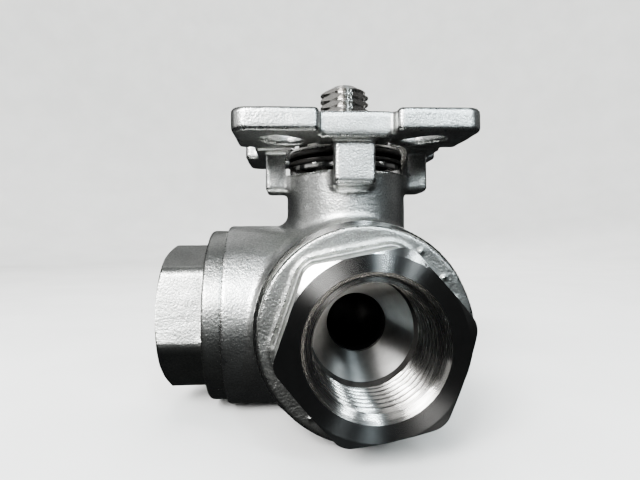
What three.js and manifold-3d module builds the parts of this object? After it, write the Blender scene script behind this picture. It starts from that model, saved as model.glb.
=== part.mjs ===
// Three-way ball valve, G1/2 ends, bare stem with a square actuator pad on four columns.
// Millimetres, +Z up the stem. The front port faces -Y, the rear port +Y and the side port -X.
// Heights are measured up the stem axis from the ball's centre, and reaches out along a port
// from the stem axis. The finished group is lowered so that the stem's top face is at the origin.
import * as THREE from 'three';
import { mergeVertices } from 'three/addons/utils/BufferGeometryUtils.js';
import Module from 'manifold-3d';

const wasm = await Module();
wasm.setup();

// Driving dimensions. R is a radius, Z a height above the ball's centre.
const PORT_REACH = 38.2;
const SLIP = 0.1; // axial gap between pieces that rest on each other
const FINE = 32; // facets round the large bores and casings
const MEDIUM = 28; // facets round seats and seals
const COARSE = 24; // facets round the stem

const BALL_R = 12;
const PASSAGE_R = 5.6;
const SLOT_WIDTH = 6;
const SLOT_FLOOR_Z = 8.5;

const SEAT = { innerR: 5.7, outerR: 9.2, faceReach: 9.4, backReach: 14.4, recessR: BALL_R + 0.2 };
const SEAT_POCKET_R = SEAT.outerR + 0.1;
const SEAT_POCKET_REACH = SEAT.backReach + SLIP;

const CAP = {
  noseR: 11,
  noseReach: 11.3,
  spigotR: 15.1,
  spigotReach: 17.4,
  flangeR: 18,
  flangeReach: 25.2,
  flangeEdge: 1.2,
  hexReach: 28.95,
  hexFlats: 27,
  hexCornerRound: 1.4,
  hexBlankR: 17.5,
  endFaceR: 13.6,
  endChamferSlope: 0.5,
};
const SOCKET = { majorR: 10.5, mouthR: 11, mouthDepth: 0.6, coneR: 9.15, coneReach: 23.2, coneRun: 7.5 };
const GASKET = { innerR: 12.5, outerR: 15, thickness: 1 };

const BODY = {
  branchR: 19,
  branchReach: 25.1,
  edge: 1,
  chamberR: 12.4,
  socketR: 15.3,
  socketReach: 16.2,
  neckR: 12.9,
  neckTopZ: 29.6,
};
const COLUMN = { width: 7.8, outerR: 17.5, innerR: 13.8, footZ: 26, kneeRound: 1.4, neckFillet: 1.4 };
const PAD = {
  half: 22.7,
  bottomZ: 34.95,
  topZ: 39.27,
  notchHalf: 6.93,
  notchDepth: 3.2,
  notchRound: 1.5,
  tabDrop: 0.5,
  cornerRound: 2,
  recessR: 15,
  recessDepth: 1.5,
};
const BOLT_SLOT = { reach: 19.5, length: 9.2, width: 6.2 };

const STEM = {
  topZ: 49.5,
  topR: 2.7,
  topChamferZ: 47.9,
  threadR: 5.35,
  squareFlats: 9,
  squareZ: 30.8,
  shankR: 5.8,
  collarR: 8,
  collarZ: 12.3,
  collarTopZ: 14.3,
  tangLength: 14,
  tangWidth: SLOT_WIDTH - 0.3,
  grooveR: 4.15,
  grooveZ: 18,
  grooveWidth: 1.8,
};
const STEM_HOLE_R = STEM.shankR + 0.2;
const THRUST = { pocketR: 8.1, pocketTopZ: 15.5, innerR: 6.1, outerR: 7.9 };
const STUFFING_BOX = { R: 9, floorZ: 21 };
const PACKING = { innerR: 6, outerR: 8.9, height: 1.9, vee: 0.5, pitch: 2.05 };
const GLAND = { flangeR: 12.3, flangeZ: 30.4, topZ: 31.5 };
const DISC_SPRING = { innerR: 6.1, outerR: 12.5, thickness: 0.9, cone: 0.35 };
const LOCK_WASHER = { R: 12.3, thickness: 0.6, tabWidth: 5, tabHeight: 2.6, tabThickness: 0.9 };
const NUT = { flats: 19, height: 4, holeR: 5.5, chamfer: 0.7 };
const NUT_TURN = -130; // one flat of the nut, and the tab against it, faces out between two columns

const METAL = { metalness: 1, roughness: 0.38 };
const MATERIALS = {
  cast: { color: 0xb4b6b5, ...METAL, roughness: 0.5 },
  machined: { color: 0xc9cac8, ...METAL, roughness: 0.25 },
  polished: { color: 0xd2d3d2, ...METAL, roughness: 0.12 },
  spring: { color: 0x9a9a97, ...METAL },
  ptfe: { color: 0xe9e7e0, metalness: 0, roughness: 0.5 },
  carbonPtfe: { color: 0x2b2b2d, metalness: 0, roughness: 0.6 },
  rubber: { color: 0x1b1b1c, metalness: 0, roughness: 0.7 },
};

// ---- Solids ----

// A three.js geometry as a manifold-3d solid, with its vertices merged and its faces turned outwards.
function solid(geometry) {
  geometry.deleteAttribute('normal');
  geometry.deleteAttribute('uv');
  const merged = mergeVertices(geometry, 1e-4);
  const at = merged.attributes.position.array;
  const corner = (i) => new THREE.Vector3().fromArray(at, 3 * i);
  const triangles = [];
  let volume = 0;
  for (let i = 0; i < merged.index.count; i += 3) {
    const [a, b, c] = [0, 1, 2].map((k) => merged.index.getX(i + k));
    if (a === b || b === c || c === a) continue;
    triangles.push([a, b, c]);
    volume += corner(a).dot(corner(b).cross(corner(c)));
  }
  const turned = volume < 0 ? triangles.map(([a, b, c]) => [a, c, b]) : triangles;
  const triVerts = new Uint32Array(turned.flat());
  return new wasm.Manifold(new wasm.Mesh({ numProp: 3, vertProperties: at, triVerts }));
}

// A manifold-3d solid back as a three.js geometry.
function geometryOf(made) {
  const { vertProperties, triVerts } = made.getMesh();
  const geometry = new THREE.BufferGeometry();
  geometry.setAttribute('position', new THREE.BufferAttribute(vertProperties, 3));
  geometry.setIndex(new THREE.BufferAttribute(triVerts, 1));
  geometry.computeVertexNormals();
  return geometry;
}

// A profile of [radius, height] turned about Z. One that touches the axis starts and ends on it.
function turned(profile, facets) {
  const closed = profile[0][0] > 0 ? [...profile, profile[0]] : profile;
  const points = closed.map(([r, z]) => new THREE.Vector2(r, z));
  const geometry = new THREE.LatheGeometry(points, facets, Math.PI / facets);
  return solid(geometry.rotateX(Math.PI / 2));
}

// A plain cylinder along Z between two heights.
function rod(radius, low, high, facets) {
  return turned([[0, low], [radius, low], [radius, high], [0, high]], facets);
}

// An outline extruded along Z between two heights.
function prism(shape, low, high, curveSegments = 2) {
  const settings = { depth: high - low, bevelEnabled: false, curveSegments };
  return solid(new THREE.ExtrudeGeometry(shape, settings).translate(0, 0, low));
}

// A closed outline whose corners, each given as [x, y, rounding], are rounded.
function roundedShape(corners) {
  const shape = new THREE.Shape();
  corners.forEach(([x, y, rounding], i) => {
    const here = new THREE.Vector2(x, y);
    const [before, after] = [corners.at(i - 1), corners[(i + 1) % corners.length]].map(([u, v]) =>
      new THREE.Vector2(u, v).sub(here).setLength(rounding).add(here),
    );
    if (i === 0) shape.moveTo(before.x, before.y);
    else shape.lineTo(before.x, before.y);
    shape.quadraticCurveTo(x, y, after.x, after.y);
  });
  return shape;
}

// A regular polygon's outline from its size across flats, its first corner at the angle.
function polygonShape(sides, flats, firstCorner, rounding) {
  const radius = flats / 2 / Math.cos(Math.PI / sides);
  const corners = Array.from({ length: sides }, (_, k) => {
    const angle = firstCorner + (k * 2 * Math.PI) / sides;
    return [radius * Math.cos(angle), radius * Math.sin(angle), rounding];
  });
  return roundedShape(corners);
}

// Turns a solid modelled along +Z so that it points out along a port.
function alongPort(made, turn) {
  return made.rotate([90, 0, 0]).rotate([0, 0, turn]);
}

// Turns about Z that take the front port's direction to each port's.
const FRONT = 0;
const REAR = 180;
const SIDE = -90;
const BLIND = 90;
const QUARTERS = [0, 90, 180, 270];

// ---- Body ----

function castBlank() {
  const { branchR, branchReach, edge, neckR, neckTopZ } = BODY;
  const end = [[branchR, branchReach - edge], [branchR - edge, branchReach]];
  const mirrored = end.toReversed().map(([r, z]) => [r, -z]);
  const run = turned([[0, -branchReach], ...mirrored, ...end, [0, branchReach]], FINE);
  const branch = turned([[0, 0], [branchR, 0], ...end, [0, branchReach]], FINE);
  return alongPort(run, FRONT).add(alongPort(branch, SIDE)).add(rod(neckR, 0, neckTopZ, FINE));
}

// One column. Its foot turns in under a round knee and runs to the neck in a hollow fillet.
function column() {
  const { width, outerR, footZ, kneeRound, neckFillet } = COLUMN;
  const rootR = STUFFING_BOX.R + 1;
  const rootZ = PAD.bottomZ + 1;
  const side = new THREE.Shape();
  side.moveTo(rootR, footZ - neckFillet);
  side.lineTo(BODY.neckR - 0.1, footZ - neckFillet);
  side.absarc(BODY.neckR + neckFillet, footZ - neckFillet, neckFillet, Math.PI, Math.PI / 2, true);
  side.absarc(outerR - kneeRound, footZ + kneeRound, kneeRound, -Math.PI / 2, 0);
  side.lineTo(outerR, rootZ);
  side.lineTo(rootR, rootZ);
  return prism(side, -width / 2, width / 2, 3).rotate([90, 0, 0]);
}

function padPlate() {
  const { half, notchHalf, notchDepth, notchRound, cornerRound, bottomZ, topZ, tabDrop } = PAD;
  const floor = half - notchDepth;
  const corners = QUARTERS.flatMap((turn) => {
    const axis = new THREE.Vector2();
    const angle = THREE.MathUtils.degToRad(turn);
    return [
      [half, -notchHalf, notchRound],
      [floor, -notchHalf, notchRound],
      [floor, notchHalf, notchRound],
      [half, notchHalf, notchRound],
      [half, half, cornerRound],
    ].map(([x, y, rounding]) => {
      const { x: u, y: v } = new THREE.Vector2(x, y).rotateAround(axis, angle);
      return [u, v, rounding];
    });
  });
  const tab = new THREE.BoxGeometry(floor - COLUMN.innerR + 1, 2 * notchHalf, tabDrop + 1);
  tab.translate((floor + COLUMN.innerR - 1) / 2, 0, bottomZ + (1 - tabDrop) / 2);
  const tabs = QUARTERS.map((turn) => solid(tab.clone()).rotate([0, 0, turn]));
  return [prism(roundedShape(corners), bottomZ, topZ), ...tabs].reduce((sum, next) => sum.add(next));
}

function boltSlot() {
  const { reach, length, width } = BOLT_SLOT;
  const radius = width / 2;
  const offset = length / 2 - radius;
  const shape = new THREE.Shape();
  shape.absarc(reach + offset, 0, radius, -Math.PI / 2, Math.PI / 2);
  shape.absarc(reach - offset, 0, radius, Math.PI / 2, 1.5 * Math.PI);
  return prism(shape, PAD.bottomZ - 2, PAD.topZ + 1, 6);
}

// The bore for one screwed cap: the chamber, then the wider cap socket.
function capBore() {
  const { chamberR, socketR, socketReach, branchReach } = BODY;
  return turned(
    [[0, 0], [chamberR, 0], [chamberR, socketReach], [socketR, socketReach],
      [socketR, branchReach + 1], [0, branchReach + 1]],
    FINE,
  );
}

// The bores up the neck: thrust washer pocket, stem hole, stuffing box, column bore and pad recess.
function stemBore() {
  const recessZ = PAD.topZ - PAD.recessDepth;
  return turned(
    [
      [0, 0],
      [THRUST.pocketR, 0],
      [THRUST.pocketR, THRUST.pocketTopZ],
      [STEM_HOLE_R, THRUST.pocketTopZ],
      [STEM_HOLE_R, STUFFING_BOX.floorZ],
      [STUFFING_BOX.R, STUFFING_BOX.floorZ],
      [STUFFING_BOX.R, BODY.neckTopZ],
      [COLUMN.innerR, BODY.neckTopZ],
      [COLUMN.innerR, recessZ],
      [PAD.recessR, recessZ],
      [PAD.recessR, PAD.topZ + 1],
      [0, PAD.topZ + 1],
    ],
    FINE,
  );
}

function body() {
  const columns = QUARTERS.map((turn) => column().rotate([0, 0, turn]));
  const casting = [castBlank(), padPlate(), ...columns].reduce((sum, next) => sum.add(next));
  const cuts = [
    ...[FRONT, REAR, SIDE].map((turn) => alongPort(capBore(), turn)),
    alongPort(rod(SEAT_POCKET_R, 0, SEAT_POCKET_REACH, FINE), BLIND),
    stemBore(),
    ...QUARTERS.map((turn) => boltSlot().rotate([0, 0, turn + 45])),
  ];
  return cuts.reduce((left, cut) => left.subtract(cut), casting);
}

// ---- End caps and their seals, modelled along +Z and turned out along their ports ----

function hexagon(firstCorner) {
  const { hexReach, hexFlats, hexCornerRound, hexBlankR, endFaceR, endChamferSlope } = CAP;
  const shoulder = PORT_REACH - (hexBlankR - endFaceR) * endChamferSlope;
  const blank = prism(polygonShape(6, hexFlats, firstCorner, hexCornerRound), hexReach - 1, PORT_REACH);
  const chamfer = turned(
    [[0, 0], [hexBlankR, 0], [hexBlankR, shoulder], [endFaceR, PORT_REACH], [0, PORT_REACH]],
    FINE,
  );
  return blank.intersect(chamfer);
}

function endCap(firstCorner) {
  const { noseR, noseReach, spigotR, spigotReach, flangeR, flangeReach, flangeEdge, hexReach } = CAP;
  const { majorR, mouthR, mouthDepth, coneR, coneReach, coneRun } = SOCKET;
  const outside = turned(
    [
      [0, noseReach],
      [noseR, noseReach],
      [noseR, spigotReach],
      [spigotR, spigotReach],
      [spigotR, flangeReach],
      [flangeR - flangeEdge / 2, flangeReach],
      [flangeR, flangeReach + flangeEdge / 2],
      [flangeR, hexReach - flangeEdge],
      [flangeR - flangeEdge, hexReach],
      [0, hexReach],
    ],
    FINE,
  );
  const inside = turned(
    [
      [0, 0],
      [SEAT_POCKET_R, 0],
      [SEAT_POCKET_R, SEAT_POCKET_REACH],
      [PASSAGE_R, SEAT_POCKET_REACH],
      [PASSAGE_R, coneReach - coneRun],
      [coneR, coneReach],
      [majorR, coneReach],
      [majorR, PORT_REACH - mouthDepth],
      [mouthR, PORT_REACH],
      [mouthR, PORT_REACH + 1],
      [0, PORT_REACH + 1],
    ],
    FINE,
  );
  return outside.add(hexagon(firstCorner)).subtract(inside);
}

function ring(innerR, outerR, low, high, facets) {
  return turned([[innerR, low], [outerR, low], [outerR, high], [innerR, high]], facets);
}

function capGasket() {
  const low = BODY.socketReach + SLIP;
  return ring(GASKET.innerR, GASKET.outerR, low, low + GASKET.thickness, MEDIUM);
}

// A seat ring with a spherical face for the ball.
function seat() {
  const { innerR, outerR, faceReach, backReach, recessR } = SEAT;
  const lipAngle = Math.acos(faceReach / recessR);
  const boreAngle = Math.asin(innerR / recessR);
  const steps = 4;
  const face = Array.from({ length: steps + 1 }, (_, k) => {
    const angle = THREE.MathUtils.lerp(lipAngle, boreAngle, k / steps);
    return [recessR * Math.sin(angle), recessR * Math.cos(angle)];
  });
  return turned([[outerR, backReach], [outerR, faceReach], ...face, [innerR, backReach]], MEDIUM);
}

// ---- Ball and stem ----

// The ball, with an L-shaped passage from the front port to the side port and a slot for the stem.
function ball() {
  const reach = BALL_R + 1;
  const bore = rod(PASSAGE_R, 0, reach, COARSE);
  const slotDepth = reach - SLOT_FLOOR_Z;
  const slot = new THREE.BoxGeometry(2 * reach, SLOT_WIDTH, slotDepth);
  slot.translate(0, 0, SLOT_FLOOR_Z + slotDepth / 2);
  return solid(new THREE.SphereGeometry(BALL_R, FINE, 16))
    .subtract(alongPort(bore, FRONT))
    .subtract(alongPort(bore, SIDE))
    .subtract(solid(new THREE.SphereGeometry(PASSAGE_R, COARSE, 12)))
    .subtract(solid(slot));
}

// The section shared by the stem's end and the lock washer's hole: a square, corners cut to a circle.
function squareBar(flats, cornerR, low, high) {
  const bar = prism(polygonShape(4, flats, 0, 0.1), low, high, 1);
  return bar.intersect(rod(cornerR, low, high, COARSE));
}

function stem() {
  const { topZ, topR, topChamferZ, threadR, squareFlats, squareZ, shankR } = STEM;
  const { collarR, collarZ, collarTopZ, tangLength, tangWidth, grooveR, grooveZ, grooveWidth } = STEM;
  const tangZ = SLOT_FLOOR_Z + 0.2;
  const tangHeight = collarZ + 0.5 - tangZ;
  const tang = new THREE.BoxGeometry(tangLength, tangWidth, tangHeight);
  tang.translate(0, 0, tangZ + tangHeight / 2);
  const shank = turned(
    [
      [0, collarZ],
      [collarR, collarZ],
      [collarR, collarTopZ],
      [shankR, collarTopZ],
      [shankR, grooveZ - grooveWidth / 2],
      [grooveR, grooveZ - grooveWidth / 2],
      [grooveR, grooveZ + grooveWidth / 2],
      [shankR, grooveZ + grooveWidth / 2],
      [shankR, squareZ],
      [0, squareZ],
    ],
    COARSE,
  );
  const point = turned(
    [[0, 0], [threadR, 0], [threadR, topChamferZ], [topR, topZ], [0, topZ]],
    COARSE,
  );
  const drive = squareBar(squareFlats, threadR + 1, squareZ - 1, topZ).intersect(point);
  return solid(tang).add(shank).add(drive);
}

function thrustWasher() {
  const low = STEM.collarTopZ + SLIP;
  return ring(THRUST.innerR, THRUST.outerR, low, THRUST.pocketTopZ - SLIP, COARSE);
}

function stemORing() {
  const section = 0.8;
  const centreR = STEM.grooveR + SLIP / 2 + section;
  return solid(new THREE.TorusGeometry(centreR, section, 8, COARSE).translate(0, 0, STEM.grooveZ));
}

// One vee-shaped packing ring; index 0 is the lowest.
function packingRing(index) {
  const { innerR, outerR, height, vee, pitch } = PACKING;
  const low = STUFFING_BOX.floorZ + SLIP + index * pitch;
  const middleR = (innerR + outerR) / 2;
  const top = low + height;
  const under = [[innerR, low], [middleR, low + vee], [outerR, low]];
  const over = [[outerR, top - vee], [middleR, top], [innerR, top - vee]];
  return turned([...under, ...over], COARSE);
}

function glandFollower() {
  const low = STUFFING_BOX.floorZ + 3 * PACKING.pitch + 2 * SLIP;
  const { innerR, outerR } = PACKING;
  const { flangeR, flangeZ, topZ } = GLAND;
  return turned(
    [[innerR, low], [outerR, low], [outerR, flangeZ], [flangeR, flangeZ], [flangeR, topZ], [innerR, topZ]],
    MEDIUM,
  );
}

// One coned disc spring: its rim is low, or high when turned over.
function discSpring(low, turnedOver) {
  const { innerR, outerR, thickness, cone } = DISC_SPRING;
  const [innerZ, outerZ] = turnedOver ? [low, low + cone] : [low + cone, low];
  return turned(
    [[innerR, innerZ], [outerR, outerZ], [outerR, outerZ + thickness], [innerR, innerZ + thickness]],
    MEDIUM,
  );
}

const SPRING_PITCH = DISC_SPRING.thickness + DISC_SPRING.cone + SLIP;
const LOWER_SPRING_Z = GLAND.topZ + SLIP;
const UPPER_SPRING_Z = LOWER_SPRING_Z + SPRING_PITCH;
const LOCK_WASHER_Z = UPPER_SPRING_Z + SPRING_PITCH;
const NUT_Z = LOCK_WASHER_Z + LOCK_WASHER.thickness + SLIP;

// The washer keyed on the stem's square, with one tab turned up against a flat of the nut.
function lockWasher() {
  const { R, thickness, tabWidth, tabHeight, tabThickness } = LOCK_WASHER;
  const top = LOCK_WASHER_Z + thickness;
  const tabInside = NUT.flats / 2 + SLIP;
  const tab = new THREE.BoxGeometry(tabThickness, tabWidth, tabHeight + thickness);
  tab.translate(tabInside + tabThickness / 2, 0, LOCK_WASHER_Z + (tabHeight + thickness) / 2);
  const hole = squareBar(STEM.squareFlats + 0.3, STEM.threadR + 0.25, LOCK_WASHER_Z - 1, top + 1);
  return rod(R, LOCK_WASHER_Z, top, FINE)
    .add(solid(tab).rotate([0, 0, NUT_TURN]))
    .subtract(hole);
}

function stemNut() {
  const { flats, height, holeR, chamfer } = NUT;
  const corner = THREE.MathUtils.degToRad(NUT_TURN + 30);
  const top = NUT_Z + height;
  const outside = flats / 2 / Math.cos(Math.PI / 6);
  const blank = prism(polygonShape(6, flats, corner, 0.1), NUT_Z, top, 1);
  const limit = turned(
    [
      [holeR, NUT_Z],
      [outside - chamfer, NUT_Z],
      [outside, NUT_Z + chamfer / 2],
      [outside, top - chamfer / 2],
      [outside - chamfer, top],
      [holeR, top],
    ],
    FINE,
  );
  return blank.intersect(limit);
}

// ---- Assembly ----

const valve = new THREE.Group();

function addPiece(name, made, material, turn = null) {
  const mesh = new THREE.Mesh(geometryOf(made), new THREE.MeshStandardMaterial(MATERIALS[material]));
  mesh.name = name;
  if (turn === null) {
    valve.add(mesh);
    return;
  }
  const port = new THREE.Group();
  port.rotation.z = THREE.MathUtils.degToRad(turn);
  mesh.rotation.x = Math.PI / 2;
  port.add(mesh);
  valve.add(port);
}

// Each cap's hexagon stops at the angle where its thread pulled tight.
const CAPS = [
  { port: 'front', turn: FRONT, hexCorner: 10.5 },
  { port: 'rear', turn: REAR, hexCorner: 24 },
  { port: 'side', turn: SIDE, hexCorner: 42 },
];

addPiece('body', body(), 'cast');
for (const { port, turn, hexCorner } of CAPS) {
  addPiece(`end_cap_${port}`, endCap(THREE.MathUtils.degToRad(hexCorner)), 'machined', turn);
  addPiece(`cap_gasket_${port}`, capGasket(), 'ptfe', turn);
  addPiece(`seat_${port}`, seat(), 'carbonPtfe', turn);
}
addPiece('seat_blind', seat(), 'carbonPtfe', BLIND);
addPiece('ball', ball(), 'polished');
addPiece('stem', stem(), 'machined');
addPiece('stem_thrust_washer', thrustWasher(), 'ptfe');
addPiece('stem_o_ring', stemORing(), 'rubber');
['lower', 'middle', 'upper'].forEach((place, index) => {
  addPiece(`packing_ring_${place}`, packingRing(index), 'carbonPtfe');
});
addPiece('gland_follower', glandFollower(), 'machined');
addPiece('disc_spring_lower', discSpring(LOWER_SPRING_Z, false), 'spring');
addPiece('disc_spring_upper', discSpring(UPPER_SPRING_Z, true), 'spring');
addPiece('lock_washer', lockWasher(), 'machined');
addPiece('stem_nut', stemNut(), 'machined');

valve.position.z = -STEM.topZ;

export default valve;
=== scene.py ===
"""Three-way ball valve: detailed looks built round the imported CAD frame.

Shapes are worked out in millimetres with the ball's centre at the origin, Z up the stem, and put in
the row frame, in metres, when a piece is finished. A cap is shaped along +Z and turned to its port.
"""
import math

import bmesh
import bpy
import numpy as np
import openvdb
from mathutils import Matrix, Vector


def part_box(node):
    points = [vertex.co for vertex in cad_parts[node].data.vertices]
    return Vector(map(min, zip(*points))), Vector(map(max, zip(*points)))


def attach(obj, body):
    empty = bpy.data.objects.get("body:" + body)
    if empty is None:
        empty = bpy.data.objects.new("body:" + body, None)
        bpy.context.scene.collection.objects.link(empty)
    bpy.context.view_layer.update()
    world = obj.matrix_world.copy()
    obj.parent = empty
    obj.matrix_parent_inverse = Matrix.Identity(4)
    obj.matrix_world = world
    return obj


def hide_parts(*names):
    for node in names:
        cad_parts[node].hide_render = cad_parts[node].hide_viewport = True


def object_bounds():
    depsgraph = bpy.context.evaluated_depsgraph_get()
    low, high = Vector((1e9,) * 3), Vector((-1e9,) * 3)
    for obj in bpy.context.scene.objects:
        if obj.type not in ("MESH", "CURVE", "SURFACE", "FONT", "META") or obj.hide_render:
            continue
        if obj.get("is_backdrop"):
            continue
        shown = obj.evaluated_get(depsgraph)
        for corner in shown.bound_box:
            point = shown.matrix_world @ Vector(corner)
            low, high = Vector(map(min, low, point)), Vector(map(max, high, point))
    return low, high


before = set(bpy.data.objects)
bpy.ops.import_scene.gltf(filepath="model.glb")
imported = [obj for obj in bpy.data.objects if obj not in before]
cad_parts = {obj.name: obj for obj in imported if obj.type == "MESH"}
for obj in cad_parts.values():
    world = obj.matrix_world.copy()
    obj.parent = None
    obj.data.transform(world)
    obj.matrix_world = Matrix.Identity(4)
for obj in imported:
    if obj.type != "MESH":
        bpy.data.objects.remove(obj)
cad_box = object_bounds()


def millimetres(node):
    """A node's lowest and highest corners, in the row frame, in millimetres."""
    return [Vector(corner) * 1000 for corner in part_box(node)]


# ---- Driving dimensions, in millimetres: read from the frame where a node's box shows them ----

cap_low, cap_high = millimetres("end_cap_front")
body_high = millimetres("body")[1]
lower_spring = millimetres("disc_spring_lower")
upper_spring = millimetres("disc_spring_upper")
nut_low, nut_high = millimetres("stem_nut")
lock_low = millimetres("lock_washer")[0]
gland_low, gland_high = millimetres("gland_follower")

STEM_TOP = -(cap_low.z + cap_high.z) / 2
PORT_REACH = -cap_low.y
PAD_TOP = body_high.z + STEM_TOP
PAD_HALF = body_high.x
NUT_Z = nut_low.z + STEM_TOP
NUT_TOP = nut_high.z + STEM_TOP
LOCK_Z = lock_low.z + STEM_TOP
GLAND_TOP = gland_high.z + STEM_TOP
GLAND_FOOT = gland_low.z + STEM_TOP
LOWER_SPRING_Z = lower_spring[0].z + STEM_TOP
UPPER_SPRING_Z = upper_spring[0].z + STEM_TOP

BRANCH_R = 19.0
BRANCH_REACH = 25.1
FACING = 0.3
NECK_R = 12.9
NECK_TOP = 29.6
PAD_BOTTOM = 34.95
NOTCH_HALF = 6.93
NOTCH_DEPTH = 3.2
TAB_DROP = 0.5
COLUMN_HALF = 3.9
COLUMN_R = 17.5
COLUMN_BORE_R = 13.8
COLUMN_FOOT = 26.0
SLOT_REACH = 19.5
SLOT_HALF = 3.1
SLOT_LENGTH = 9.2
CHAMBER_R = 12.4
CAP_SOCKET_R = 15.3
CAP_SOCKET_REACH = 16.2
RECESS_R = 15.0
RECESS_DEPTH = 1.5
STEM_HOLE_R = 6.0
THRUST_POCKET = (8.1, 15.5)
STUFFING_BOX = (9.0, 21.0)

BALL_R = 12.0
PASSAGE_R = 5.6
BALL_SLOT = (6.0, 8.5)
SEAT_POCKET = (9.3, 14.5)

FLANGE_R = 18.0
FLANGE_REACH = 25.2
HEX_REACH = 28.95
HEX_FLATS = 27.0
END_FACE_R = 13.6
SPIGOT = (15.1, 17.4)
NOSE = (11.0, 11.3)
BEAD_OFFSET = 1.0
BEAD_R = 0.28
MOUTH_R = 11.0
CONE_R = 9.15
CONE_REACH = 23.2
CONE_RUN = 7.5
UNDERCUT_R = 10.6
UNDERCUT_END = 24.3
CONE_ROWS, UNDERCUT_ROWS = (3, 4), (4, 7)
PIPE_MAJOR_R = 10.48
PIPE_MINOR_R = 9.32
PIPE_PITCH = 1.814

STEM_THREAD_R = 5.35
STEM_THREAD_DEPTH = 0.92
STEM_PITCH = 1.5
STEM_FLATS = 9.0
STEM_SQUARE_Z = 30.8
STEM_CHAMFER_Z = 47.9
STEM_TOP_R = 2.7
STEM_SHANK_R = 5.8
STEM_EDGE = 0.3
COLLAR_R = 8.0
COLLAR_Z = (12.3, 14.3)
GROOVE_R = 4.15
GROOVE_Z = (17.1, 18.9)
TANG_R = 7.0
TANG_Z = (8.7, 12.8)
TANG_HALF = 2.85

GASKET_R = (12.5, 15.0)
GASKET_GAP = 0.1
GASKET_THICK = 1
SEAT_R = (5.7, 9.2)
SEAT_REACH = (9.4, 14.4)
SEAT_CLEARANCE = 0.1
THRUST_R = (6.1, 7.9)
THRUST_Z = (14.4, 15.4)
O_RING_R = 5.0
O_RING_Z = 18.0
O_RING_WIRE_R = 0.8
PACKING_R = (6.0, 8.9)
PACKING_THICK = 1.4
PACKING_STEP = 2.05
PACKING_PEAK = 0.5
GLAND_R = (6.0, 8.9)
GLAND_FLANGE_R = 12.3
GLAND_FLANGE_THICK = 1.1
SPRING_R = (6.1, 12.5)
SPRING_THICK = 0.9
SPRING_CONE = 0.35
NUT_FLATS = 19.0
NUT_HOLE_R = 5.5
NUT_TURN = -130
WASHER_R = 12.3
WASHER_THICK = 0.6
WASHER_TAB_HALF = 2.5
WASHER_TAB_THICK = 0.9
WASHER_TAB_RISE = 2.6

# Each cap's axis, the turn of its first hexagon corner in degrees, and the seed of its skin and pimples.
CAPS = {"front": ("Y", 10.5, 11), "rear": ("Y", 24.0, 12), "side": ("X", 42.0, 13)}
PIMPLES = 7
PIMPLE_REACH = (15.6, 17.0)
PIMPLE_SIZE = (0.28, 0.4)

BODY_STEP = 0.4
CAP_STEP = 0.32
MARGIN = 1.5

TURNED_CREASE = math.radians(24)
CAST_CREASE = math.radians(50)

# ---- Solids turned about Z ----

TURN = 2 * math.pi


def angles(segments):
    return np.arange(segments) * TURN / segments


def object_from(name, vertices, faces):
    mesh = bpy.data.meshes.new(name)
    mesh.from_pydata(np.asarray(vertices).tolist(), [], faces)
    mesh.update()
    made = bpy.data.objects.new(name, mesh)
    bpy.context.scene.collection.objects.link(made)
    return made


def turned(name, rows, segments=96, closed=False):
    """A solid turned about Z. Each row is (radius, height); a radius may hold one value per angle.
    A closed profile is a ring; an open one is capped with flat ends."""
    theta = angles(segments)
    radii = np.array([np.broadcast_to(radius, segments) for radius, _ in rows], dtype=float)
    heights = np.array([np.broadcast_to(height, segments) for _, height in rows], dtype=float)
    vertices = np.stack([radii * np.cos(theta), radii * np.sin(theta), heights], axis=-1).reshape(-1, 3)
    count = len(rows)
    steps = count if closed else count - 1
    i, k = np.meshgrid(np.arange(steps), np.arange(segments), indexing="ij")
    after, along = (i + 1) % count, (k + 1) % segments
    quads = np.stack(
        [i * segments + k, i * segments + along, after * segments + along, after * segments + k], axis=-1
    )
    faces = quads.reshape(-1, 4).tolist()
    if not closed:
        faces.append(list(range(segments))[::-1])
        faces.append([(count - 1) * segments + n for n in range(segments)])
    made = object_from(name, vertices, faces)
    face_outwards(made)
    return made


def face_outwards(made):
    """Turns the faces out, by the sign of the enclosed volume."""
    work = bmesh.new()
    work.from_mesh(made.data)
    if work.calc_volume(signed=True) < 0:
        bmesh.ops.reverse_faces(work, faces=work.faces)
    work.to_mesh(made.data)
    work.free()


def rounded_rows(corners, edge):
    """Profile corners with each one cut by a small two-step round of about that size."""
    rows = []
    for before, here, after in zip(corners[-1:] + corners[:-1], corners, corners[1:] + corners[:1]):
        start, middle, end = Vector(before), Vector(here), Vector(after)
        size = min(edge, (start - middle).length / 2.2, (end - middle).length / 2.2)
        first = middle + (start - middle).normalized() * size
        last = middle + (end - middle).normalized() * size
        for share in (0, 0.5, 1):
            rows.append(tuple(first.lerp(middle, share).lerp(middle.lerp(last, share), share)))
    return rows


def ring(name, corners, edge=0.12):
    """A closed ring whose profile corners are slightly rounded."""
    return turned(name, rounded_rows(corners, edge), closed=True)


def thread_radius(theta, height, pitch, inner, outer, sharpness=1.6):
    """Radius of a right-hand thread at each angle: flanks with rounded crests and roots."""
    phase = (height / pitch - theta / TURN) % 1.0
    wave = np.clip(sharpness * (1 - 4 * np.abs(phase - 0.5)), -1, 1)
    return (inner + outer) / 2 + (outer - inner) / 2 * np.sin(wave * math.pi / 2)


# ---- Castings: distance fields with filleted joins, in millimetres ----


def fillet(a, b, radius):
    """Union of two distance fields with a round fillet."""
    inside = np.hypot(np.maximum(radius - a, 0), np.maximum(radius - b, 0))
    return np.maximum(radius, np.minimum(a, b)) - inside


def round_and(a, b, radius):
    """Intersection of two distance fields with a rounded edge."""
    outside = np.hypot(np.maximum(radius + a, 0), np.maximum(radius + b, 0))
    return np.minimum(-radius, np.maximum(a, b)) + outside


def between(value, low, high):
    return np.maximum(low - value, value - high)


def barrel(across, along, radius, low, high, edge):
    return round_and(across - radius, between(along, low, high), edge)


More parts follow.
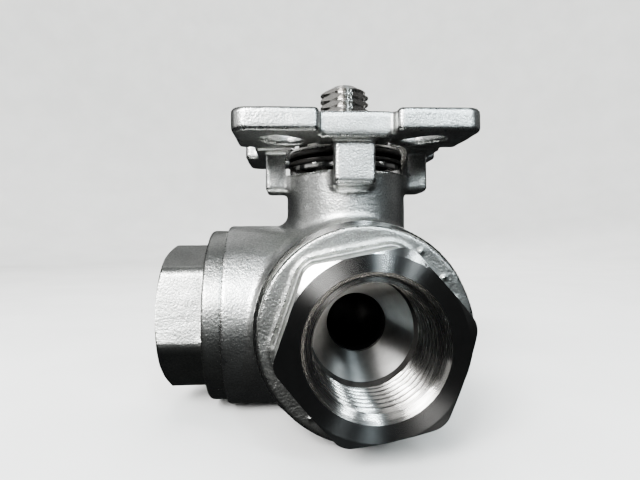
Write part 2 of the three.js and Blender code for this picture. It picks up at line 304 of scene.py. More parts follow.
def waviness(x, y, z, wavelength, amplitude, seed, waves=10):
    """A smooth uneven skin: plane waves in seeded directions."""
    draw = np.random.default_rng(seed)
    total = 0
    for _ in range(waves):
        direction = draw.normal(size=3)
        direction *= TURN / (wavelength * draw.uniform(0.7, 1.5) * np.linalg.norm(direction))
        phase = direction[0] * x + direction[1] * y + direction[2] * z + draw.uniform(0, TURN)
        total = total + np.sin(phase)
    return total * amplitude / math.sqrt(waves)


def mesh_field(name, field, low, high, step):
    """The zero surface of field(x, y, z) between two corners, as an object."""
    axes = [np.arange(a, b + step, step, dtype=np.float32) for a, b in zip(low, high)]
    x, y, z = np.meshgrid(*axes, indexing="ij", sparse=True)
    values = np.clip(field(x, y, z), -3 * step, 3 * step).astype(np.float32)
    grid = openvdb.FloatGrid(3 * step)
    grid.copyFromArray(values)
    grid.transform = openvdb.createLinearTransform(step)
    points, quads = grid.convertToQuads(0.0)
    made = object_from(name, points + np.array(low), quads.tolist())
    face_outwards(made)
    return made


def body_field(x, y, z):
    reach = BRANCH_REACH + FACING
    run = barrel(np.hypot(x, z), y, BRANCH_R, -reach, reach, 0.6)
    branch = barrel(np.hypot(y, z), x, BRANCH_R, -reach, 0, 0.6)
    neck = barrel(np.hypot(x, y), z, NECK_R, 0, NECK_TOP, 0.5)
    tee = np.maximum(fillet(run, branch, 1.6), np.abs(z) - BRANCH_R)
    casting = fillet(tee, neck, 2.4)
    a, b = np.abs(x), np.abs(y)
    out, side = np.maximum(a, b), np.minimum(a, b)
    casting = fillet(casting, column_field(out, side, z), 1.3)
    casting = fillet(casting, pad_field(a, b, out, side, z), 0.5)
    return casting + waviness(x, y, z, 7.0, 0.04, 3) + waviness(x, y, z, 2.6, 0.008, 4)


def column_field(out, side, z):
    section = round_and(side - COLUMN_HALF, out - COLUMN_R, 0.55)
    foot = round_and(section, COLUMN_FOOT - z, 1.1)
    return np.maximum(foot, np.maximum(NECK_R - 3 - out, z - PAD_BOTTOM - 1))


def pad_field(a, b, out, side, z):
    notch = round_and(PAD_HALF - NOTCH_DEPTH - out, side - NOTCH_HALF, 0.8)
    outline = round_and(round_and(a - PAD_HALF, b - PAD_HALF, 2.8), -notch, 1.0)
    plate = round_and(outline, between(z, PAD_BOTTOM, PAD_TOP), 0.8)
    tab = round_and(round_and(out - PAD_HALF + NOTCH_DEPTH, side - NOTCH_HALF + 0.2, 1.0),
                    between(z, PAD_BOTTOM - TAB_DROP, PAD_TOP), 0.45)
    along = np.maximum(np.abs((a + b) / math.sqrt(2) - SLOT_REACH) - SLOT_LENGTH / 2 + SLOT_HALF, 0)
    slot = np.hypot(along, (a - b) / math.sqrt(2)) - SLOT_HALF
    return round_and(fillet(plate, tab, 0.4), -slot, 0.6)


def hexagon_field(x, y, flats, edge):
    sides = [np.abs(x * math.cos(turn) + y * math.sin(turn)) - flats / 2
             for turn in np.radians([30, 90, 150])]
    return round_and(round_and(sides[0], sides[1], edge), sides[2], edge)


def cap_field(seed):
    """The casting of one end cap along +Z, its first hexagon corner at +X, with a few cast pimples."""
    draw = np.random.default_rng(seed)
    pimples = [(draw.uniform(0, 360), draw.uniform(*PIMPLE_REACH), draw.uniform(*PIMPLE_SIZE))
               for _ in range(PIMPLES)]

    def field(x, y, z):
        across = np.hypot(x, y)
        flange = barrel(across, z, FLANGE_R, FLANGE_REACH - FACING, HEX_REACH, 0.5)
        core = barrel(across, z, SPIGOT[0] + 1, NOSE[1] - 1, HEX_REACH - 1, 0.5)
        outline = hexagon_field(x, y, HEX_FLATS, 1.3)
        hexagon = np.maximum(outline, between(z, NOSE[1], PORT_REACH + 2))
        casting = fillet(np.minimum(flange, core), hexagon, 0.5)
        bead = np.hypot(outline - BEAD_OFFSET, z - HEX_REACH) - BEAD_R
        casting = fillet(casting, bead, 0.2)
        for degrees, reach, size in pimples:
            aside = x - reach * math.cos(math.radians(degrees)), y - reach * math.sin(math.radians(degrees))
            lump = np.sqrt(aside[0] ** 2 + aside[1] ** 2 + (z - HEX_REACH) ** 2) - size
            casting = fillet(casting, lump, 0.25)
        return casting + waviness(x, y, z, 6.0, 0.025, seed) + waviness(x, y, z, 2.4, 0.006, seed + 50)

    return field


# ---- Cutting and joining meshes ----


def combine(target, tool, operation):
    """Boolean of two closed meshes; new faces keep the tool's material, and the tool is used up."""
    modifier = target.modifiers.new("combine", "BOOLEAN")
    modifier.object = tool
    modifier.operation = operation
    modifier.solver = "MANIFOLD"
    modifier.material_mode = "TRANSFER"
    bake_modifiers(target)
    bpy.data.objects.remove(tool)


def bake_modifiers(made):
    depsgraph = bpy.context.evaluated_depsgraph_get()
    mesh = bpy.data.meshes.new_from_object(made.evaluated_get(depsgraph))
    made.modifiers.clear()
    old, made.data = made.data, mesh
    bpy.data.meshes.remove(old)


def turn_mesh(made, *steps):
    """Applies matrices, first to last, to the mesh itself."""
    for step in steps:
        made.data.transform(step)
    return made


def box_object(name, low, high):
    corners = [(x, y, z) for z in (low[2], high[2]) for y in (low[1], high[1]) for x in (low[0], high[0])]
    faces = [(0, 2, 3, 1), (4, 5, 7, 6), (0, 1, 5, 4), (2, 6, 7, 3), (0, 4, 6, 2), (1, 3, 7, 5)]
    return object_from(name, corners, faces)


FACE_FRONT = Matrix.Rotation(math.radians(90), 4, "X")
PORT_TURN = {"front": 0.0, "rear": 180.0, "side": -90.0, "blind": 90.0}


def to_port(made, port, spin=0.0):
    """Turns a piece shaped along +Z out along a port, spun about its own axis first."""
    about_port = Matrix.Rotation(math.radians(PORT_TURN[port]), 4, "Z")
    return turn_mesh(made, Matrix.Rotation(math.radians(spin), 4, "Z"), FACE_FRONT, about_port)


def crease(made):
    """Keeps turned and cut edges crisp and lets cast faces run smoothly into each other."""
    cast = {index for index, material in enumerate(made.data.materials) if material.name.startswith("cast")}
    work = bmesh.new()
    work.from_mesh(made.data)
    for edge in work.edges:
        first, second = edge.link_faces
        both_cast = first.material_index in cast and second.material_index in cast
        edge.smooth = edge.calc_face_angle(0) < (CAST_CREASE if both_cast else TURNED_CREASE)
    work.to_mesh(made.data)
    work.free()


def finish_piece(made, node, body, materials):
    made.name = node + "_detail"
    made.data.name = made.name
    if materials:
        made.data.materials.clear()
        for material in materials:
            made.data.materials.append(material)
    made.data.transform(Matrix.Scale(0.001, 4) @ Matrix.Translation((0, 0, -STEM_TOP)))
    made.data.polygons.foreach_set("use_smooth", [True] * len(made.data.polygons))
    crease(made)
    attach(made, body)
    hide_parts(node)
    return made


# ---- Materials ----


def set_range(node, limits):
    """Sets a Map Range node's two limits and what they map to."""
    for socket, number in zip(("From Min", "From Max", "To Min", "To Max"), limits):
        node.inputs[socket].default_value = number


class Shader:
    """A principled material with texture coordinates in millimetres."""

    def __init__(self, name, base, metallic, roughness):
        self.material = bpy.data.materials.new(name)
        self.material.use_nodes = True
        self.nodes = self.material.node_tree.nodes
        self.links = self.material.node_tree.links
        self.surface = self.nodes["Principled BSDF"]
        self.surface.inputs["Base Color"].default_value = (*base, 1)
        self.surface.inputs["Metallic"].default_value = metallic
        self.surface.inputs["Roughness"].default_value = roughness
        coordinates = self.nodes.new("ShaderNodeTexCoord")
        scaled = self.nodes.new("ShaderNodeVectorMath")
        scaled.operation = "SCALE"
        scaled.inputs["Scale"].default_value = 1000
        self.links.new(coordinates.outputs["Object"], scaled.inputs[0])
        self.place = scaled.outputs[0]

    def link(self, output, node, socket):
        self.links.new(output, node.inputs[socket])

    def noise(self, per_mm, detail=3.0, roughness=0.55, vector=None):
        node = self.nodes.new("ShaderNodeTexNoise")
        node.inputs["Scale"].default_value = per_mm
        node.inputs["Detail"].default_value = detail
        node.inputs["Roughness"].default_value = roughness
        self.link(vector or self.place, node, "Vector")
        return node.outputs["Fac"]

    def ramp(self, value, *limits):
        """Maps a value's low and high limits to two others."""
        node = self.nodes.new("ShaderNodeMapRange")
        set_range(node, limits)
        self.link(value, node, "Value")
        return node.outputs["Result"]

    def math(self, operation, *values):
        node = self.nodes.new("ShaderNodeMath")
        node.operation = operation
        for index, value in enumerate(values):
            if isinstance(value, (int, float)):
                node.inputs[index].default_value = value
            else:
                self.link(value, node, index)
        return node.outputs[0]

    def tint(self, factor, dark, light):
        node = self.nodes.new("ShaderNodeMix")
        node.data_type = "RGBA"
        node.inputs["A"].default_value = (*dark, 1)
        node.inputs["B"].default_value = (*light, 1)
        self.link(factor, node, "Factor")
        self.links.new(node.outputs["Result"], self.surface.inputs["Base Color"])

    def bump(self, height, distance_mm, strength=1.0):
        node = self.nodes.new("ShaderNodeBump")
        node.inputs["Distance"].default_value = distance_mm / 1000
        node.inputs["Strength"].default_value = strength
        self.link(height, node, "Height")
        if self.surface.inputs["Normal"].is_linked:
            self.link(self.surface.inputs["Normal"].links[0].from_socket, node, "Normal")
        self.links.new(node.outputs["Normal"], self.surface.inputs["Normal"])

    def edges(self):
        """0 in hollows and on flats, 1 on sharp outer edges."""
        pointiness = self.nodes.new("ShaderNodeNewGeometry").outputs["Pointiness"]
        return self.ramp(pointiness, 0.5, 0.56, 0, 1)

    def set_roughness(self, value):
        self.links.new(value, self.surface.inputs["Roughness"])

    def turned_marks(self, axis, per_mm):
        """Noise that is the same all round an axis through the part's own stem or port."""
        split = self.nodes.new("ShaderNodeSeparateXYZ")
        self.links.new(self.place, split.inputs[0])
        parts = dict(zip("XYZ", split.outputs))
        if axis != "Z":
            parts["Z"] = self.math("ADD", parts["Z"], STEM_TOP)
        along = parts.pop(axis)
        first, second = (self.math("POWER", part, 2.0) for part in parts.values())
        across = self.math("SQRT", self.math("ADD", first, second))
        joined = self.nodes.new("ShaderNodeCombineXYZ")
        self.links.new(across, joined.inputs[0])
        self.links.new(along, joined.inputs[1])
        return self.noise(per_mm, 2.0, 0.6, joined.outputs[0])


def cast_steel(name, base):
    shader = Shader(name, base, 1.0, 0.45)
    patches = shader.noise(0.22, 4.0)
    grain = shader.noise(3.0, 3.0, 0.6)
    dark = tuple(0.68 * channel for channel in base)
    light = tuple(min(1.0, 1.15 * channel) for channel in base)
    mixed = shader.math("ADD", shader.math("MULTIPLY", patches, 0.3), shader.math("MULTIPLY", grain, 0.7))
    worn = shader.math("ADD", shader.ramp(mixed, 0.40, 0.60, 0.0, 0.8),
                       shader.math("MULTIPLY", shader.edges(), 0.5))
    shader.tint(shader.math("MINIMUM", worn, 1.0), dark, light)
    rough = shader.math("SUBTRACT", shader.ramp(grain, 0.3, 0.7, 0.38, 0.29),
                        shader.math("MULTIPLY", shader.edges(), 0.10))
    shader.set_roughness(rough)
    shader.bump(shader.noise(1.0, 2.0, 0.5), 0.035, 0.7)
    shader.bump(shader.noise(2.5, 3.0, 0.6), 0.085, 1.0)
    return shader.material


def turned_steel(kind, axis, base, roughness):
    """Steel with tool marks all round an axis, which spread its highlights into fans."""
    name = f"{kind}_steel_{axis.lower()}"
    shader = Shader(name, base, 1.0, roughness)
    marks = shader.turned_marks(axis, 5.0)
    stains = shader.noise(0.6, 3.0)
    dark = tuple(0.86 * channel for channel in base)
    shader.tint(shader.ramp(stains, 0.35, 0.65, 0.2, 1.0), dark, base)
    shader.set_roughness(shader.ramp(marks, 0.3, 0.7, roughness * 0.96, roughness * 1.05))
    shader.bump(marks, 0.002, 0.4)
    shader.surface.inputs["Anisotropic"].default_value = 1.0
    shader.surface.inputs["Anisotropic Rotation"].default_value = 0.25
    tangent = shader.nodes.new("ShaderNodeTangent")
    tangent.direction_type = "RADIAL"
    tangent.axis = axis
    shader.links.new(tangent.outputs[0], shader.surface.inputs["Tangent"])
    return shader.material


def plain_steel(name, base, roughness, grain_per_mm):
    shader = Shader(name, base, 1.0, roughness)
    cloud = shader.noise(0.5, 4.0)
    dark = tuple(0.78 * channel for channel in base)
    shader.tint(shader.ramp(cloud, 0.35, 0.65, 0.0, 1.0), dark, base)
    shader.set_roughness(shader.ramp(shader.noise(1.5, 3.0), 0.3, 0.7, roughness * 1.25, roughness * 0.8))
    shader.bump(shader.noise(grain_per_mm, 3.0), 0.012, 0.6)
    return shader.material


def soft_seal(name, base, roughness, grain_per_mm):
    shader = Shader(name, base, 0.0, roughness)
    cloud = shader.noise(0.8, 3.0)
    dark = tuple(0.88 * channel for channel in base)
    shader.tint(shader.ramp(cloud, 0.35, 0.65, 0.0, 1.0), dark, base)
    shader.set_roughness(shader.ramp(shader.noise(2.0, 2.0), 0.3, 0.7, roughness * 1.15, roughness * 0.85))
    shader.bump(shader.noise(grain_per_mm, 2.0), 0.01, 0.5)
    return shader.material


CAST_BODY = cast_steel("cast_body_steel", (0.55, 0.555, 0.54))
CAST_CAP = cast_steel("cast_cap_steel", (0.39, 0.395, 0.38))
TURNED_BASE = (0.52, 0.515, 0.50)
# Darker than the turned steel: painted shade for the seat pockets, throats and threads inside the port
# mouths. The stem's thread shares this steel.
SHADED_THREAD_BASE = (0.44, 0.43, 0.41)
TURNED = {axis: turned_steel("turned", axis, TURNED_BASE, 0.19) for axis in "XYZ"}
CONED = {axis: turned_steel("coned", axis, TURNED_BASE, 0.33) for axis in "XYZ"}
THREADED = {axis: turned_steel("threaded", axis, SHADED_THREAD_BASE, 0.27) for axis in "XYZ"}
# Painted shade: near-black steel on the ball's passage, elbow and tang slot and on each port's undercut,
# where shade falls on what is bright machined steel.
PAINTED_SHADE_STEEL = plain_steel("painted_shade_bore_steel", (0.13, 0.125, 0.12), 0.5, 4.0)
BALL_STEEL = plain_steel("polished_ball_steel", (0.78, 0.78, 0.77), 0.08, 9.0)
# Near-black spring steel. This is partly the springs' own dark finish and partly painted shade for the
# shadowed gap under the pad.
SPRING_STEEL_DARK_AND_SHADE = plain_steel("spring_steel", (0.13, 0.125, 0.12), 0.48, 3.0)
SHEET_STEEL = plain_steel("sheet_steel", (0.60, 0.60, 0.585), 0.30, 4.0)
PTFE = soft_seal("ptfe", (0.86, 0.85, 0.81), 0.45, 3.0)
CARBON_PTFE = soft_seal("carbon_ptfe", (0.035, 0.035, 0.037), 0.5, 3.0)
RUBBER = soft_seal("seal_rubber", (0.03, 0.03, 0.03), 0.55, 5.0)

# ---- Body ----


def bore(name, corners, material, segments=128):
    cutter = turned(name, corners, segments)
    cutter.data.materials.append(material)
    return cutter


def make_body():
    along = BRANCH_REACH + MARGIN
    low = (-along, -along, -BRANCH_R - MARGIN)
    high = (PAD_HALF + MARGIN, along, PAD_TOP + MARGIN)
    made = mesh_field("body", body_field, low, high, BODY_STEP)
    made.data.materials.append(CAST_BODY)
    socket = [(CHAMBER_R, 0), (CHAMBER_R, CAP_SOCKET_REACH), (CAP_SOCKET_R, CAP_SOCKET_REACH),
              (CAP_SOCKET_R, BRANCH_REACH), (BRANCH_R + 2, BRANCH_REACH), (BRANCH_R + 2, BRANCH_REACH + 2)]
    # One bore runs right through from front to rear, so that no sheet of metal is left at the centre.
    run = [(radius, -height) for radius, height in reversed(socket[1:])] + socket[1:]
    combine(made, to_port(bore("bore_run", run, TURNED["Y"]), "front"), "DIFFERENCE")
    combine(made, to_port(bore("bore_side", socket, TURNED["X"]), "side"), "DIFFERENCE")
    pocket = [(SEAT_POCKET[0], 0), SEAT_POCKET]
    combine(made, to_port(bore("bore_blind", pocket, TURNED["X"]), "blind"), "DIFFERENCE")
    recess = PAD_TOP - RECESS_DEPTH
    neck = [(THRUST_POCKET[0], 0), THRUST_POCKET, (STEM_HOLE_R, THRUST_POCKET[1]),
            (STEM_HOLE_R, STUFFING_BOX[1]), STUFFING_BOX, (STUFFING_BOX[0], NECK_TOP - 0.3),
            (STUFFING_BOX[0] + 0.3, NECK_TOP), (COLUMN_BORE_R, NECK_TOP), (COLUMN_BORE_R, recess - 0.3),
            (COLUMN_BORE_R + 0.3, recess), (RECESS_R, recess), (RECESS_R, PAD_TOP - 0.25),
            (RECESS_R + 0.5, PAD_TOP + 0.25), (RECESS_R + 0.5, PAD_TOP + 2)]
    combine(made, bore("bore_neck", neck, TURNED["Z"], 160), "DIFFERENCE")
    return finish_piece(made, "body", "housing", [])


# ---- End caps ----


def cap_envelope(axis):
    """Everything that turning leaves of a cap: nose, spigot, flange back and end face."""
    wide = FLANGE_R + 3
    shoulder = PORT_REACH - (wide - END_FACE_R) * 0.5
    corners = [(NOSE[0] - 0.4, NOSE[1]), (NOSE[0], NOSE[1] + 0.4), (NOSE[0], SPIGOT[1]),
               (SPIGOT[0] - 0.4, SPIGOT[1]), (SPIGOT[0], SPIGOT[1] + 0.4), (SPIGOT[0], FLANGE_REACH + 0.06),
               (wide, FLANGE_REACH + 0.06), (wide, shoulder), (END_FACE_R, PORT_REACH)]
    envelope = turned("envelope", corners, 160)
    envelope.data.materials.append(TURNED[axis])
    return envelope


def pipe_bore(axis, segments=160, rows_per_pitch=18):
    """The cutter for one port: seat pocket, throat, cone, undercut and the threaded mouth."""
    theta = angles(segments)
    rows = [(SEAT_POCKET[0], 0), SEAT_POCKET, (PASSAGE_R, SEAT_POCKET[1]),
            (PASSAGE_R, CONE_REACH - CONE_RUN), (CONE_R, CONE_REACH),
            (UNDERCUT_R - 0.2, CONE_REACH + 0.02), (UNDERCUT_R, CONE_REACH + 0.2)]
    top = PORT_REACH + 0.8
    lead_in = ([PORT_REACH - 1.1, PORT_REACH - 0.5, top], [PIPE_MINOR_R, MOUTH_R - 0.5, MOUTH_R + 0.8])
    count = round((top - UNDERCUT_END) / PIPE_PITCH * rows_per_pitch)
    for height in np.linspace(UNDERCUT_END, top, count):
        thread = thread_radius(theta, height, PIPE_PITCH, PIPE_MINOR_R, PIPE_MAJOR_R)
        mouth = np.interp(height, *lead_in)
        runout = UNDERCUT_R - (height - UNDERCUT_END) * 1.2
        rows.append((np.maximum(thread, max(mouth, runout)), height))
    cutter = turned("pipe_bore", rows, segments)
    for material in (THREADED[axis], CONED[axis], PAINTED_SHADE_STEEL):
        cutter.data.materials.append(material)
    # The cone faces take the coned steel. The undercut faces take the near-black steel, which is painted
    # shade in the recess.
    for index, (first, last) in ((1, CONE_ROWS), (2, UNDERCUT_ROWS)):
        for face in cutter.data.polygons[first * segments:last * segments]:
            face.material_index = index
    return cutter


def make_cap(port, axis, hex_corner, seed):
    half = FLANGE_R + 1.2
    low, high = (-half, -half, NOSE[1] - 2), (half, half, PORT_REACH + 2.6)
    made = mesh_field(f"end_cap_{port}", cap_field(seed), low, high, CAP_STEP)
    made.data.materials.append(CAST_CAP)
    combine(made, cap_envelope(axis), "INTERSECT")
    combine(made, pipe_bore(axis), "DIFFERENCE")
    to_port(made, port, hex_corner)
    return finish_piece(made, f"end_cap_{port}", "housing", [])


def band(inner, outer, low, high):
    """The corners of a plain ring's profile."""
    return [(inner, low), (outer, low), (outer, high), (inner, high)]


def make_gasket(port):
    """The flat gasket behind a cap's spigot."""
    low = CAP_SOCKET_REACH + GASKET_GAP
    gasket = ring("gasket", band(*GASKET_R, low, low + GASKET_THICK))
    finish_piece(to_port(gasket, port), f"cap_gasket_{port}", "housing", [PTFE])


def make_seat(port):
    """A seat ring, hollowed on its inner face to the ball's round."""
    (inner, outer), (face, back) = SEAT_R, SEAT_REACH
    recess = BALL_R + SEAT_CLEARANCE
    lip, throat = math.acos(face / recess), math.asin(inner / recess)
    arc = [(recess * math.sin(t), recess * math.cos(t)) for t in np.linspace(lip, throat, 10)]
    corners = [(outer, back), (outer, face), *arc, (inner, back)]
    made = turned("seat", corners, 96, closed=True)
    finish_piece(to_port(made, port), f"seat_{port}", "housing", [CARBON_PTFE])


# ---- Ball and stem ----


def sphere_rows(radius, pole, count):
    """The rows of a sphere, which stop a small angle short of its poles."""
    return [(radius * math.sin(t), -radius * math.cos(t)) for t in np.linspace(pole, math.pi - pole, count)]


def make_ball():
    """The ball, with its L-shaped passage and the slot that takes the stem's tang."""
    made = turned("ball", sphere_rows(BALL_R, 0.004, 72), 144)
    passage = [(PASSAGE_R, 0), (PASSAGE_R, BALL_R - 1.25), (PASSAGE_R + 1.2, BALL_R + 0.6)]
    made.data.materials.append(BALL_STEEL)
    half, floor = BALL_SLOT[0] / 2, BALL_SLOT[1]
    clear = BALL_R + 1
    cutters = [to_port(turned("passage", passage), port) for port in ("front", "side")]
    cutters.append(turned("elbow", sphere_rows(PASSAGE_R, 0.01, 40)))
    cutters.append(box_object("slot", (-clear, -half, floor), (clear, half, clear)))
    # Every cut face of the passage, elbow and slot takes the near-black steel: painted shade inside the ball.
    for cutter in cutters:
        cutter.data.materials.append(PAINTED_SHADE_STEEL)
        combine(made, cutter, "DIFFERENCE")
    finish_piece(made, "ball", "rotor", [])


def make_tang():
    """The flat blade at the stem's foot: a rounded disc with its two sides and its top cut off."""
    foot, top = TANG_Z
    clear = TANG_R + 2
    profile = [(0.01, foot), (TANG_R, foot), (TANG_R, top + 0.2), (0.01, top + 0.2)]
    tang = turned("tang", rounded_rows(profile, 0.4)[2:-1])
    for sign in (-1, 1):
        low, high = sorted((sign * TANG_HALF, sign * clear))
        combine(tang, box_object("tang_side", (-clear, low, 8), (clear, high, top + 0.1)), "DIFFERENCE")
    combine(tang, box_object("tang_top", (-clear, -clear, top), (clear, clear, 14)), "DIFFERENCE")
    return tang


def make_stem():
    """The stem: tang, collar, O-ring groove, shank and the threaded, square drive end."""
    segments = 144
    theta = angles(segments)
    collar, shank, edge = COLLAR_R, STEM_SHANK_R, STEM_EDGE
    (foot, top), (low, high) = COLLAR_Z, GROOVE_Z
    rows = [(collar - edge, foot), (collar, foot + edge), (collar, top - edge), (collar - edge, top),
            (shank, top), (shank, low - 0.1), (shank - 0.15, low), (GROOVE_R, low), (GROOVE_R, high),
            (shank - 0.15, high), (shank, high + 0.1), (shank, STEM_SQUARE_Z - edge),
            (shank - edge, STEM_SQUARE_Z)]
    count = round((STEM_TOP - STEM_SQUARE_Z) / STEM_PITCH * 20)
    slope = (STEM_THREAD_R - STEM_TOP_R) / (STEM_TOP - STEM_CHAMFER_Z)
    root = STEM_THREAD_R - STEM_THREAD_DEPTH
    for height in np.linspace(STEM_SQUARE_Z + edge, STEM_TOP, count):
        thread = thread_radius(theta, height, STEM_PITCH, root, STEM_THREAD_R, 1.25)
        point = STEM_TOP_R + (STEM_TOP - height) * slope
        rows.append((np.minimum(thread, point), height))
    made = turned("stem", rows, segments)
    outside = STEM_THREAD_R + 2
    for quarter in range(4):
        flat = box_object("flat", (STEM_FLATS / 2, -outside, STEM_SQUARE_Z), (outside, outside, STEM_TOP + 1))
        combine(made, turn_mesh(flat, Matrix.Rotation(math.radians(45 + 90 * quarter), 4, "Z")), "DIFFERENCE")
    combine(made, make_tang(), "UNION")
    finish_piece(made, "stem", "rotor", [THREADED["Z"]])


def make_stem_seals():
    """The thrust washer, the O-ring and the packing round the stem."""
    washer = ring("thrust", band(*THRUST_R, *THRUST_Z))
    finish_piece(washer, "stem_thrust_washer", "housing", [PTFE])
    section = [(O_RING_R + O_RING_WIRE_R * math.cos(t), O_RING_Z + O_RING_WIRE_R * math.sin(t))
               for t in angles(20)]
    finish_piece(turned("o_ring", section, closed=True), "stem_o_ring", "rotor", [RUBBER])
    inner, outer = PACKING_R
    middle = (inner + outer) / 2
    for index, place in enumerate(("lower", "middle", "upper")):
        low = STUFFING_BOX[1] + 0.1 + PACKING_STEP * index
        high = low + PACKING_THICK
        corners = [(inner, low), (middle, low + PACKING_PEAK), (outer, low),
                   (outer, high), (middle, high + PACKING_PEAK), (inner, high)]
        made = ring("packing", corners, 0.1)
        finish_piece(made, f"packing_ring_{place}", "housing", [CARBON_PTFE])


def make_gland():
    """The gland follower: a sleeve on the packing with a wide flange under the springs."""
    inner, sleeve = GLAND_R
    flange_z = GLAND_TOP - GLAND_FLANGE_THICK
    gland = ring("gland", [(inner, GLAND_FOOT), (sleeve, GLAND_FOOT), (sleeve, flange_z),
                           (GLAND_FLANGE_R, flange_z), (GLAND_FLANGE_R, GLAND_TOP), (inner, GLAND_TOP)], 0.2)
    finish_piece(gland, "gland_follower", "housing", [TURNED["Z"]])


def make_disc_spring(place, low, turned_over):
    """One disc spring, its inner rim high, or its outer rim if it is turned over."""
    inside, outside = SPRING_R
    inner, outer = (low, low + SPRING_CONE) if turned_over else (low + SPRING_CONE, low)
    corners = [(inside, inner), (outside, outer), (outside, outer + SPRING_THICK),
               (inside, inner + SPRING_THICK)]
    made = ring("spring", corners, 0.22)
    finish_piece(made, f"disc_spring_{place}", "rotor", [SPRING_STEEL_DARK_AND_SHADE])


def corner_radius(flats):
    return flats / 2 / math.cos(math.pi / 6)


def hexagon_prism(name, flats, low, high):
    radius = corner_radius(flats)
    points = [(radius * math.cos(t), radius * math.sin(t)) for t in angles(6)]
    vertices = [(x, y, z) for z in (low, high) for x, y in points]
    sides = [(k, (k + 1) % 6, (k + 1) % 6 + 6, k + 6) for k in range(6)]
    return object_from(name, vertices, [tuple(range(5, -1, -1)), tuple(range(6, 12)), *sides])


def make_nut():
    """The stem nut, its corners and its bore chamfered by a turned envelope."""
    hole, radius = NUT_HOLE_R, corner_radius(NUT_FLATS)
    drop, inset, past = 0.75, 1.3, 0.05
    made = hexagon_prism("nut", NUT_FLATS, NUT_Z, NUT_TOP)
    turn_mesh(made, Matrix.Rotation(math.radians(NUT_TURN + 30), 4, "Z"))
    limit = ring("limit", [(hole, NUT_Z), (radius - inset, NUT_Z), (radius + past, NUT_Z + drop),
                           (radius + past, NUT_TOP - drop), (radius - inset, NUT_TOP),
                           (hole + 0.5, NUT_TOP), (hole, NUT_TOP - 0.5)], 0.02)
    combine(made, limit, "INTERSECT")
    bevel = made.modifiers.new("edge", "BEVEL")
    bevel.width = 0.15
    bevel.segments = 2
    bevel.limit_method = "ANGLE"
    bevel.angle_limit = math.radians(35)
    bake_modifiers(made)
    finish_piece(made, "stem_nut", "rotor", [TURNED["Z"]])


def make_lock_washer():
    """The lock washer: a disc with the stem's square hole and one tab turned up against the nut."""
    top = LOCK_Z + WASHER_THICK
    inside = NUT_FLATS / 2 + 0.1
    outside = inside + WASHER_TAB_THICK
    profile = [(0.01, LOCK_Z), (WASHER_R, LOCK_Z), (WASHER_R, top), (0.01, top)]
    made = turned("washer", rounded_rows(profile, 0.15)[2:-1])
    tab = box_object("tab", (inside, -WASHER_TAB_HALF, LOCK_Z + 0.1),
                     (outside, WASHER_TAB_HALF, top + WASHER_TAB_RISE))
    bevel = tab.modifiers.new("edge", "BEVEL")
    bevel.width = 0.25
    bevel.segments = 3
    bake_modifiers(tab)
    combine(made, turn_mesh(tab, Matrix.Rotation(math.radians(NUT_TURN), 4, "Z")), "UNION")
    half_hole = (STEM_FLATS + 0.3) / 2
    hole = box_object("hole", (-half_hole, -half_hole, LOCK_Z - 1), (half_hole, half_hole, LOCK_Z + 2))
    turn_mesh(hole, Matrix.Rotation(math.radians(45), 4, "Z"))
    round_r = STEM_THREAD_R + 0.25
    combine(hole, turned("round", [(round_r, LOCK_Z - 2), (round_r, LOCK_Z + 3)]), "INTERSECT")
    combine(made, hole, "DIFFERENCE")
    finish_piece(made, "lock_washer", "rotor", [SHEET_STEEL])


make_body()
for port, (axis, hex_corner, seed) in CAPS.items():
    make_cap(port, axis, hex_corner, seed)
    make_gasket(port)
    make_seat(port)
make_seat("blind")
make_ball()
make_stem()
make_stem_seals()
make_gland()
make_disc_spring("lower", LOWER_SPRING_Z, False)
make_disc_spring("upper", UPPER_SPRING_Z, True)
make_nut()
make_lock_washer()

# ---- Camera, floor and light ----


CAMERA_PLACE = (-12.2, -105.2, 15.4)
CAMERA_TURNS = (3.5, 0.2, -0.6)
CAMERA_LENS = 26.6
WORLD_SHADE = (-0.15, 0.9, 0.030, 0.11)


def row_point(x, y, z):
    """A point given in millimetres from the ball's centre, in the row frame."""
    return Vector((x, y, z - STEM_TOP)) / 1000


def make_camera():
    """The camera before the front port, a little to its left; yaw, pitch and roll in degrees."""
    yaw, pitch, roll = (math.radians(angle) for angle in CAMERA_TURNS)
    data = bpy.data.cameras.new("camera")
    data.sensor_width = 36
    data.lens = CAMERA_LENS
    data.clip_start = 0.002
    data.clip_end = 20
    camera = bpy.data.objects.new("camera", data)
    bpy.context.scene.collection.objects.link(camera)
    ahead = Vector((math.sin(yaw) * math.cos(pitch), math.cos(yaw) * math.cos(pitch), math.sin(pitch)))
    level = Vector((math.cos(yaw), -math.sin(yaw), 0))
    upright = level.cross(ahead)
    right = math.cos(roll) * level + math.sin(roll) * upright
    up = math.cos(roll) * upright - math.sin(roll) * level
    camera.matrix_world = Matrix.Translation(row_point(*CAMERA_PLACE)) @ Matrix(
        (right, up, -ahead)
    ).transposed().to_4x4()
    bpy.context.scene.camera = camera


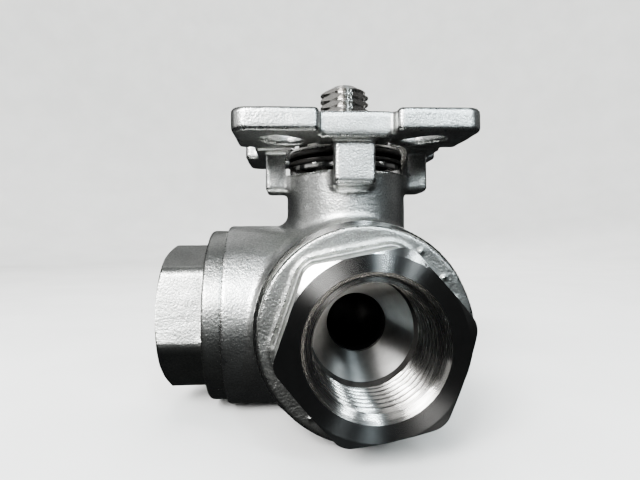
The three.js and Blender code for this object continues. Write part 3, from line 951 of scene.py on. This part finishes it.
def make_floor():
    """A pale round floor that sweeps up into a backdrop all about the valve, in metres."""
    level, flat, bend, height, segments = cad_box[0][2], 0.75, 0.35, 1.8, 96
    profile = [(flat + bend * math.sin(t), level + bend * (1 - math.cos(t)))
               for t in np.linspace(0, math.pi / 2, 24)]
    profile.append((flat + bend, level + height))
    vertices = [(radius * math.cos(t), radius * math.sin(t), z)
                for radius, z in profile for t in angles(segments)]
    faces = [tuple(range(segments))]
    for row in range(len(profile) - 1):
        start, after = row * segments, (row + 1) * segments
        faces += [(start + k, after + k, after + (k + 1) % segments, start + (k + 1) % segments)
                  for k in range(segments)]
    floor = object_from("floor", vertices, faces)
    floor.data.polygons.foreach_set("use_smooth", [True] * len(floor.data.polygons))
    shader = Shader("floor_paper", (0.72, 0.72, 0.71), 0.0, 0.8)
    cloud = shader.ramp(shader.noise(0.02, 3.0), 0.35, 0.65, 0.0, 1.0)
    shader.tint(cloud, (0.70, 0.70, 0.69), (0.74, 0.74, 0.73))
    floor.data.materials.append(shader.material)
    floor.visible_glossy = False
    floor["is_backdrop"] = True


def make_light(name, direction, distance, size, power, tint=(1, 1, 1), seen_in_metal=True):
    """A soft rectangular light seen from the valve in that direction, sizes in metres."""
    data = bpy.data.lights.new(name, "AREA")
    data.shape = "RECTANGLE"
    data.size, data.size_y = size
    data.energy = power
    data.color = tint
    light = bpy.data.objects.new(name, data)
    bpy.context.scene.collection.objects.link(light)
    aim = row_point(0, 0, 5)
    away = Vector(direction).normalized()
    light.location = aim + away * distance
    light.rotation_euler = away.to_track_quat("Z", "Y").to_euler()
    light.visible_glossy = seen_in_metal


def make_world():
    """A dim room: dark under the horizon, soft grey overhead."""
    world = bpy.data.worlds.new("studio")
    world.use_nodes = True
    nodes, links = world.node_tree.nodes, world.node_tree.links
    coordinates = nodes.new("ShaderNodeTexCoord")
    split = nodes.new("ShaderNodeSeparateXYZ")
    shade = nodes.new("ShaderNodeMapRange")
    set_range(shade, WORLD_SHADE)
    links.new(coordinates.outputs["Generated"], split.inputs[0])
    links.new(split.outputs["Z"], shade.inputs["Value"])
    links.new(shade.outputs["Result"], nodes["Background"].inputs["Strength"])
    nodes["Background"].inputs["Color"].default_value = (0.93, 0.97, 1.0, 1)
    bpy.context.scene.world = world


bpy.context.scene.view_settings.look = "AgX - Medium High Contrast"
make_camera()
make_floor()
make_light("window", (-0.42, -0.72, 0.53), 0.60, (0.23, 0.26), 7.5)
make_light("wall", (-0.28, -0.88, 0.40), 0.75, (0.50, 0.34), 1.3)
make_light("strip", (0.20, -0.78, 0.58), 0.60, (0.018, 0.40), 1.9, (0.80, 0.93, 1.0))
make_light("lamp", (0.48, -0.75, 0.45), 0.60, (0.06, 0.08), 1.0, (0.85, 0.95, 1.0))
make_light("side_fill", (-0.93, -0.20, 0.30), 0.80, (0.50, 0.50), 0.9)
make_light("right_fill", (0.95, 0.15, 0.30), 0.80, (0.40, 0.50), 0.1)
make_light("rear_fill", (0.30, 0.85, 0.42), 0.85, (0.60, 0.40), 2.5)
make_light("ceiling", (-0.10, 0.55, 0.83), 0.90, (0.7, 0.5), 0.8)
make_light("floor_fill", (0.0, 0.2, 1.0), 1.60, (1.2, 1.2), 20.0, seen_in_metal=False)
make_world()

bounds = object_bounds()
({name: [[float(v) for v in corner] for corner in box]
           for name, box in (("cad", cad_box), ("visual", bounds))})
